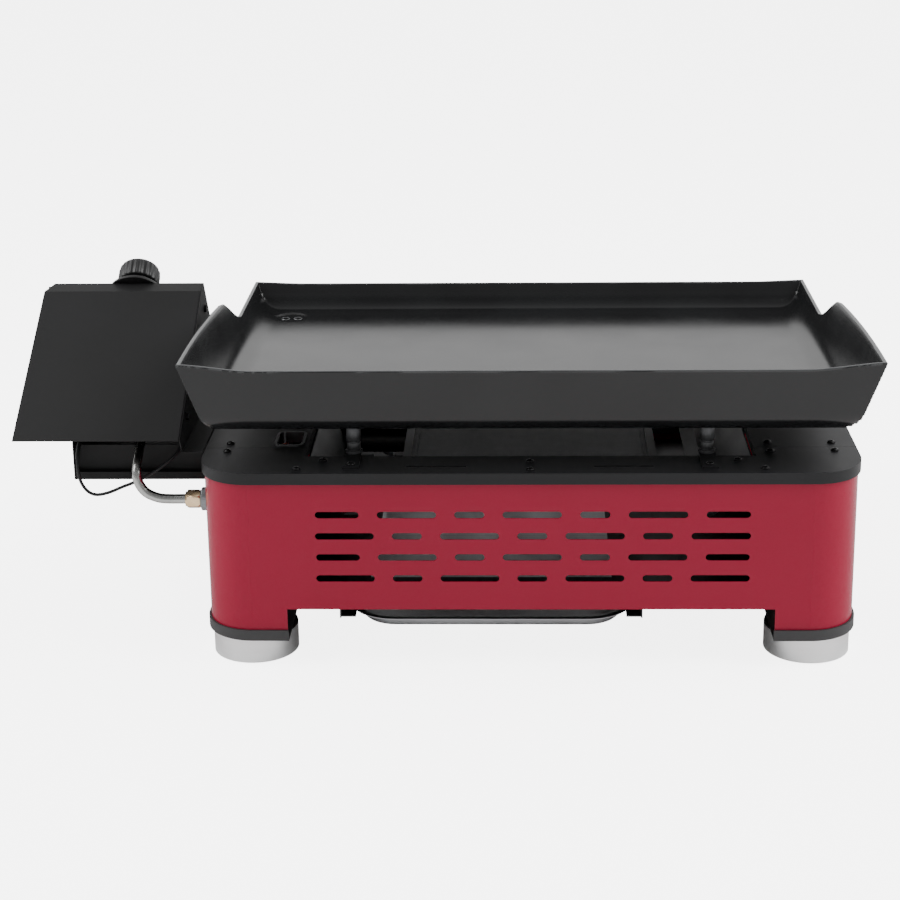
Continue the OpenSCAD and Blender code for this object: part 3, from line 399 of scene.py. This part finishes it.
# ---- Drain holes ----
# Two drilled holes in the dished drain, side by side. The drill has left a thin lip of bare steel round
# each. The pan's floor is not cut: a near-black plug in each hole is painted shade for the dark below.
def turned(profile, sides, place, lean=0.0, scallop=None):
    """Rings of (radius, height) pairs turned about an axis through place that leans back by lean from the
    vertical; scallop, if given, scales each ring's radius by angle."""
    angle = np.linspace(0, 2 * np.pi, sides, endpoint=False)
    radius, height = np.asarray(profile, float).T
    r = radius[:, None] * (np.ones(sides) if scallop is None else scallop(angle, radius[:, None]))
    x, y, z = r * np.cos(angle), r * np.sin(angle), np.broadcast_to(height[:, None], r.shape)
    return at(place[0] + x, place[1] + y * math.cos(lean) + z * math.sin(lean),
              place[2] - y * math.sin(lean) + z * math.cos(lean))


HOLE_OFFSET = 7.3
LIP_RINGS = [(4.3, -0.5), (5.2, -0.5), (5.3, 0.1), (4.9, 0.45), (4.4, 0.3)]
HOLE_SHADE_RINGS = [(4.35, -0.4), (4.35, 0.02)]
drain_eyelet = finish("bare_drain_eyelet", "8c8d8f", "a7a8aa", (0.25, 0.35), metallic=1.0, patch_mm=6,
                      grain_mm=0.5)
# Painted shade: matt near-black plugs stand in for the shadowed inside of the two holes.
drain_shadow = finish("drain_hole_painted_shade", "060606", "0a0a0a", (0.8, 0.9), patch_mm=6, grain_mm=0.6,
                      gloss=0.1)
for i, side in enumerate((-1, 1)):
    hole_at = (DRAIN_AT[0] + side * HOLE_OFFSET, DRAIN_AT[1], GRIDDLE_Z + FLOOR_T - DRAIN_DEPTH)
    lip = sheet(turned(LIP_RINGS, 28, hole_at), close_u=True, close_v=True)
    hole_shade = sheet(turned(HOLE_SHADE_RINGS, 28, hole_at), close_v=True, caps=(True, True))
    piece(f"drain_eyelet_{i}", weld([lip]), drain_eyelet, "griddle")
    piece(f"drain_hole_{i}", weld([hole_shade]), drain_shadow, "griddle")

# ---- Frame screws ----
# Pan-head screws of blackened steel with a socket in the head, drawn as a round recess, in mirrored pairs
# on the near and the far half of the top frame. The four at the posts' brackets sit 2 mm higher.
FRAME_Z = 205
BRACKET_T = 2
CABINET_D = (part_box("front_panel")[1][1] - panel_low[1]) / MM
SCREW_RINGS = [(1e-4, -7), (1.9, -6.6), (2, 0), (4, 0), (4, 0.7), (3.8, 1.3), (3.3, 1.9), (2.5, 2.3),
               (1.75, 2.4), (1.6, 2.2), (1.5, 1.1), (1e-4, 1.0)]
FRAME_SCREWS = [(-229, 11), (229, 11), (0, 8), (0, 32), (-205, 36), (205, 36), (240, 62), (-304, 64),
                (304, 64), (-304, 88), (240, 89), (304, 88)]
BRACKET_SCREWS = [(-176, 19), (176, 19)]
screw_places = [(x, v, FRAME_Z + lift)
                for spots, lift in ((FRAME_SCREWS, 0), (BRACKET_SCREWS, BRACKET_T))
                for x, y in spots for v in (y, CABINET_D - y)]
# Blackened steel is dark, with a worn metallic glint on the head's shoulder.
screw_black = finish("blackened_screw_steel", "101011", "1a1a1b", (0.3, 0.42), metallic=0.6, patch_mm=8,
                     grain_mm=0.5)
piece("pan_head_screws", weld([sheet(turned(SCREW_RINGS, 24, each), close_v=True) for each in screw_places]),
      screw_black, "cabinet", ["frame_screws"])

# ---- Support posts ----
# Four posts of turned steel that the griddle rests on, with a knurled collar so that they are screwed in
# by hand, and a heatproof rubber tip.
POST_X, POST_Y = 176, 57
POST_RINGS = [(1e-4, 201), (3, 201), (3, 207), (8.5, 207), (8.5, 209.6), (8.1, 210), (6.6, 210), (6.6, 211),
              (7.0, 211.4), (7.0, 217.6), (6.7, 218), (6.1, 218.2), (6.1, 219.6), (7.1, 219.8),
              (7.45, 220.3), (7.45, 233.3), (7.1, 234), (3, 234), (3, 238), (1e-4, 238)]


def straight_knurl(angle, radius):
    """Thirty straight teeth on rings between 6.9 and 7.6 mm."""
    return np.where((radius > 6.9) & (radius < 7.6), 1 - 0.03 * (0.5 + 0.5 * np.cos(30 * angle)), 1.0)


# Heat has dulled the turned steel to a mid grey.
post_steel = finish("knurled_post_steel", "5a5b5c", "727375", (0.35, 0.5), metallic=0.7, patch_mm=10,
                    grain_mm=0.8)
post_places = [(x, y, 0) for x in (-POST_X, POST_X) for y in (POST_Y, CABINET_D - POST_Y)]
posts = [sheet(turned(POST_RINGS, 120, each, scallop=straight_knurl), close_v=True) for each in post_places]
piece("knurled_posts", weld(posts), post_steel, "cabinet", ["support_posts"])
dress(foot_rubber, "post_tips")

# ---- Burner ----
# A welded box of heat-tinted steel sheet under an edge frame, fed through its mixing tube, with woven wire
# cloth over it. The cloth reads paler and rougher than the sheet.
burner_steel = finish("heat_tinted_steel", "45464a", "5c5a58", (0.35, 0.5), metallic=1.0, patch_mm=45,
                      grain_mm=0.9)
dress(burner_steel, "burner_housing", "burner_frame", "mixing_tube", "electrode_bracket")
burner_wire = finish("burner_wire_cloth", "a8a9ab", "bcbdbf", (0.5, 0.65), metallic=0.2, patch_mm=30,
                     grain_mm=0.8, bump_mm=0.1)
dress(burner_wire, "burner_screen")

# ---- Shields, supports and rails ----
# Folded sheet steel under and beside the fire: two deflectors, the bottom shield, the burner's two
# supports and the tray's rails. Scaled by heat, it is a dull dark grey.
shield_steel = finish("shield_steel", "2a2b2c", "37383a", (0.35, 0.5), metallic=0.5, patch_mm=60,
                      grain_mm=1.0)
dress(shield_steel, "deflector_left", "deflector_right", "bottom_shield", "burner_support_rear",
      "burner_support_front", "tray_rail_left", "tray_rail_right")

# ---- Jet, inlet and inner pipe ----
# Drawn stainless pipe inside the cabinet, and two fittings turned from brass bar. Stainless is bright and
# faintly warm, and fresh brass is pale gold.
pipe_steel = finish("drawn_stainless_pipe", "a9aaa8", "c0c0bd", (0.2, 0.3), metallic=1.0, patch_mm=30,
                    grain_mm=0.8)
dress(pipe_steel, "inner_gas_pipe")
brass = finish("turned_brass", "eccba0", "fbe0b8", (0.2, 0.3), metallic=1.0, patch_mm=12, grain_mm=0.5)
dress(brass, "gas_jet", "inlet_fitting")

# ---- Grease tray and chute ----
# A shallow tray pressed from rolled aluminium, with a rolled-out rim that slides on the rails and a folded
# pull on the cook's side. A zinc-plated chute leads the grease down to it.
TRAY_LEFT, TRAY_NEAR, TRAY_RIGHT, TRAY_FAR = -182, 8, 102.9, 482
TRAY_CORNER = 46
TRAY_SECTION = [(17.6, 33.7), (16.2, 33.9), (14.6, 34.7), (13.2, 35.8), (11.4, 37.7), (9.2, 42.0),
                (7.3, 46.1), (6.6, 46.2), (0.4, 46.2), (0.0, 46.5), (0.0, 47.1), (0.4, 47.4), (7.6, 47.4),
                (8.5, 47.0), (10.4, 42.8), (12.4, 38.7), (14.2, 36.6), (16.2, 35.2), (18.6, 34.7)]


def rounded_ring(inset, z, steps=14):
    """A ring round the tray's plan, this far inside its edge: four arcs joined by straight sides."""
    angle = np.radians(np.concatenate([np.linspace(q, q + 90, steps) for q in (0, 90, 180, 270)]))
    left, right = TRAY_LEFT + TRAY_CORNER, TRAY_RIGHT - TRAY_CORNER
    near, far = TRAY_NEAR + TRAY_CORNER, TRAY_FAR - TRAY_CORNER
    middle_x = np.repeat([right, left, left, right], steps)
    middle_y = np.repeat([far, far, near, near], steps)
    r = TRAY_CORNER - inset
    return at(middle_x + r * np.cos(angle), middle_y + r * np.sin(angle), z)


# Rolled aluminium is a cool pale grey that blurs what it mirrors.
tray_aluminium = finish("rolled_aluminium", "a6a7a9", "b6b7b9", (0.3, 0.42), metallic=1.0, patch_mm=70,
                        grain_mm=0.9)
tray_rings = np.array([rounded_ring(*each) for each in TRAY_SECTION])
piece("grease_tray_pan", weld([sheet(tray_rings, close_v=True, caps=(True, True))]), tray_aluminium,
      "tray", ["grease_tray"])
dress(tray_aluminium, "tray_pull")
dress(zinc, "drain_chute")

# ---- Electrode, inner lead and grommet ----
# A spark electrode in a glazed ceramic sleeve, off-white and shiny, and the silicone lead that brings the
# spark to it from the rubber grommet in the side of the cabinet.
ceramic = finish("glazed_ceramic", "d9d3c4", "e4dfd2", (0.15, 0.22), patch_mm=8, grain_mm=0.5)
dress(ceramic, "ignition_electrode")
dress(lead_sheath, "inner_lead")
dress(foot_rubber, "lead_grommets")

# ---- Control housing ----
# A folded steel cover, base and side plate, screwed to the cabinet on zinc-plated spacers. Its powder coat
# is finer and duller than the frame's, and shows almost no highlight.
housing_powder = finish("fine_black_powder_coat", "161616", "1b1b1c", (0.5, 0.6), patch_mm=120,
                        grain_mm=0.7, bump_mm=0.03, gloss=0.25)
dress(housing_powder, "control_cover", "control_side_plate", "control_base")
dress(zinc, "control_spacers")
dress(screw_black, "control_screws")

# ---- Gas valve and igniter ----
# A plated push-and-turn valve with a sprung stem, and a piezo igniter in a moulded case beside it.
# Phenolic moulding is black, with a low even gloss.
dress(zinc, "gas_valve", "spring_cap", "valve_stem")
knob_plastic = finish("moulded_black_phenolic", "131314", "1a1a1b", (0.36, 0.46), patch_mm=14,
                      grain_mm=0.6, bump_mm=0.01)
dress(knob_plastic, "igniter_unit")

# ---- Gas pipe ----
# Drawn 10 mm stainless tube, bent on a mandrel: out of the valve, down behind the housing's skirt, and
# level to the side of the cabinet.
PIPE_ROUTE = [(-425.2, 219.3, 290.3), (-424.5, 207.5, 281.6), (-420, 189, 264), (-411, 163, 242),
              (-400.5, 130, 222), (-397, 98, 209), (-397, 76, 197), (-397, 63, 184), (-395, 60.5, 173),
              (-388, 60, 163), (-377, 60, 157.5), (-366, 60, 156), (-344, 60, 156)]
PIPE_D = 10
pipe_line = smooth_line(at(*np.transpose(PIPE_ROUTE)), 3 * MM)
piece("gas_pipe_bend", weld([tube(pipe_line, PIPE_D / 2 * MM, 32)]), pipe_steel, "cabinet",
      ["gas_pipe"])


# ---- Flare nut and bulkhead union ----
# A brass flare nut draws the pipe up to a zinc-plated union, held in the panel by its knurled outer
# flange and a hexagon locknut inside.
def along_x(points, place_x):
    """Turns rings made about the vertical so that their height runs along x from place_x."""
    x, y, z = (points[..., i] / MM for i in range(3))
    x, y = x - CABINET_X / MM, y - CABINET_Y / MM
    return at(place_x + z, PIPE_ROUTE[-1][1] + y, PIPE_ROUTE[-1][2] - x)


def hexagon(corner, core):
    """Scallop for a hexagon of this corner radius, rounded off where a ring is smaller and left out where
    it is no wider than core."""
    def scale(angle, radius):
        side = corner * math.cos(math.pi / 6) / np.cos(angle % (np.pi / 3) - np.pi / 6)
        return np.where(radius > core, np.minimum(side, radius), radius) / radius
    return scale


def knurl(angle, radius):
    """Forty teeth on rings over 11.2 mm, each ring's turned a little from the next one's, as crossing
    knurls are."""
    return np.where(radius > 11.2, 1 + 0.018 * np.cos(40 * angle + 900 * (radius - 11.7)), 1.0)


DRAWING_ZERO = (0, 0, 0)
NUT_X, UNION_X = -347.6, -331.6
NUT_RINGS = [(5.1, 0.0), (7.5, 0.0), (7.5, 1.7), (8.6, 1.7), (8.9, 1.9), (10, 2.8), (10, 13.4), (8.9, 15),
             (5.1, 15)]
BACK_NUT_RINGS = [(6.95, 8.0), (9.6, 8.0), (11, 8.9), (11, 14.0), (9.6, 14.9), (6.95, 14.9)]
KNURL_RINGS = [(11.74 + 0.02 * (i % 2), 0.7 + i * 0.56) for i in range(10)]
UNION_RINGS = [(1e-4, -0.9), (8.0, -0.9), (8.0, 0.0), (10.9, 0.0), *KNURL_RINGS, (10.9, 6.4), (6.9, 6.4),
               (6.9, 20.2), (6.4, 20.6), (1e-4, 20.6)]
nut = along_x(turned(NUT_RINGS, 72, DRAWING_ZERO, scallop=hexagon(10, 8.6)), NUT_X)
piece("flare_nut", weld([sheet(nut, close_u=True, close_v=True)]), brass, "cabinet", ["pipe_nut"])
union = along_x(turned(UNION_RINGS, 160, DRAWING_ZERO, scallop=knurl), UNION_X)
back_nut = along_x(turned(BACK_NUT_RINGS, 72, DRAWING_ZERO, scallop=hexagon(11, 9.5)), UNION_X)
piece("bulkhead_union", weld([sheet(union, close_v=True), sheet(back_nut, close_u=True, close_v=True)]),
      zinc, "cabinet", ["bulkhead_fitting"])

# ---- Control knob ----
# A ribbed phenolic knob with a rounded shoulder, over a moulded ring on the panel. It stands off the panel
# by more than the valve's push travel, so its narrow foot sits in shadow.
PANEL_LEAN = math.radians(55)
RIDGE_Y, RIDGE_Z, KNOB_DOWN = 246, 333.5, 20
KNOB_AT = (-425.2, RIDGE_Y + KNOB_DOWN * math.cos(PANEL_LEAN), RIDGE_Z - KNOB_DOWN * math.sin(PANEL_LEAN))
STAND_OFF = 9
KNOB_RINGS = [(3.1, 0.4), (15, 0.4), (18.2, 0.5), (18.4, 1.0), (18.4, 4.6), (21.0, 4.9), (21.9, 5.6),
              (22.4, 6.6), (22.4, 21.0), (22.1, 23.2), (21.45, 24.9), (20.4, 26.2), (18.9, 27.1),
              (17.0, 27.8), (14.5, 28.15), (1e-4, 28.2)]
SURROUND_RINGS = [(19.7, 0.0), (30, 0.0), (30, 2.2), (29.6, 3.0), (27.2, 4.6), (24.6, 5.6), (22.6, 6.0),
                  (20.1, 6.0), (19.7, 5.6)]


def ribs(angle, radius):
    """24 rounded ribs on rings over 20.8 mm, which leaves the narrow foot and the top smooth."""
    return np.where(radius > 20.8, 1 - 0.04 * (0.5 - 0.5 * np.cos(24 * angle)) ** 0.7, 1.0)


raised_rings = [(r, STAND_OFF + h) for r, h in KNOB_RINGS]
grip = turned(raised_rings, 192, KNOB_AT, PANEL_LEAN, scallop=ribs)
piece("control_knob_grip", weld([sheet(grip, close_v=True, caps=(True, False))]), knob_plastic,
      "knob", ["control_knob"])
surround = turned(SURROUND_RINGS, 96, KNOB_AT, PANEL_LEAN)
piece("knob_surround", weld([sheet(surround, close_u=True, close_v=True)]), knob_plastic,
      "cabinet", ["knob_bezel"])


# ---- Studio ----
# White paper under two high soft boxes, one on either hand, with a bright backdrop beyond the griddle and
# a dim room behind the camera, so that faces turned up or towards the camera stay dark.
def soft_box(name, place, aim, size, power):
    """An area light at a place in metres, turned towards aim."""
    data = bpy.data.lights.new(name, "AREA")
    data.shape, data.size, data.size_y, data.energy = "RECTANGLE", size[0], size[1], power
    made = bpy.data.objects.new(name, data)
    made.location = place
    made.rotation_mode = "QUATERNION"
    made.rotation_quaternion = (Vector(aim) - Vector(place)).to_track_quat("-Z", "Y")
    bpy.context.scene.collection.objects.link(made)


soft_box("left_box", (-2.1, -0.5, 2.1), (0, 0, 0.1), (1.6, 2.2), 62)
soft_box("right_box", (2.1, -0.5, 2.1), (0, 0, 0.1), (1.6, 2.2), 70)
# What the camera sees of the air and the paper is burnt out to white; the griddle is lit by the rest.
BACKDROP, ROOM, CEILING = 1.35, 0.42, 0.45
AIR_GLARE, PAPER_GLARE = 7.0, 5.0
world = bpy.data.worlds.new("studio_air")
world.use_nodes = True
tree = world.node_tree
look = add(tree, "SeparateXYZ", Vector=add(tree, "TexCoord").outputs["Generated"])
wall = add(tree, "MapRange", {"interpolation_type": "SMOOTHSTEP"}, i0=look.outputs["Y"], i1=-0.6, i2=0.75,
           i3=ROOM, i4=BACKDROP)
roof = add(tree, "MapRange", {"interpolation_type": "SMOOTHSTEP"}, i0=look.outputs["Z"], i1=0.45, i2=0.85,
           i3=1.0, i4=CEILING)
strength = add(tree, "Math", {"operation": "MULTIPLY"}, i0=wall.outputs[0], i1=roof.outputs[0])
seen = add(tree, "LightPath").outputs["Is Camera Ray"]
burnt_out = add(tree, "Math", {"operation": "MULTIPLY_ADD"}, i0=seen, i1=AIR_GLARE, i2=strength.outputs[0])
air = tree.nodes["Background"]
air.inputs["Color"].default_value = linear("ffffff")
tree.links.new(burnt_out.outputs[0], air.inputs["Strength"])
bpy.context.scene.world = world
floor_mesh = bpy.data.meshes.new("studio_floor")
floor_mesh.from_pydata([(-9, -6, 0), (9, -6, 0), (9, 12, 0), (-9, 12, 0)], [], [(0, 1, 2, 3)])
floor_paper, tree, shader = new_material("studio_paper")
shader.inputs["Base Color"].default_value = linear("f7f7f7")
shader.inputs["Roughness"].default_value = 0.9
shader.inputs["Emission Color"].default_value = linear("ffffff")
seen = add(tree, "LightPath").outputs["Is Camera Ray"]
glare = add(tree, "Math", {"operation": "MULTIPLY"}, i0=seen, i1=PAPER_GLARE)
tree.links.new(glare.outputs[0], shader.inputs["Emission Strength"])
floor_mesh.materials.append(floor_paper)
floor = bpy.data.objects.new("studio_floor", floor_mesh)
bpy.context.scene.collection.objects.link(floor)
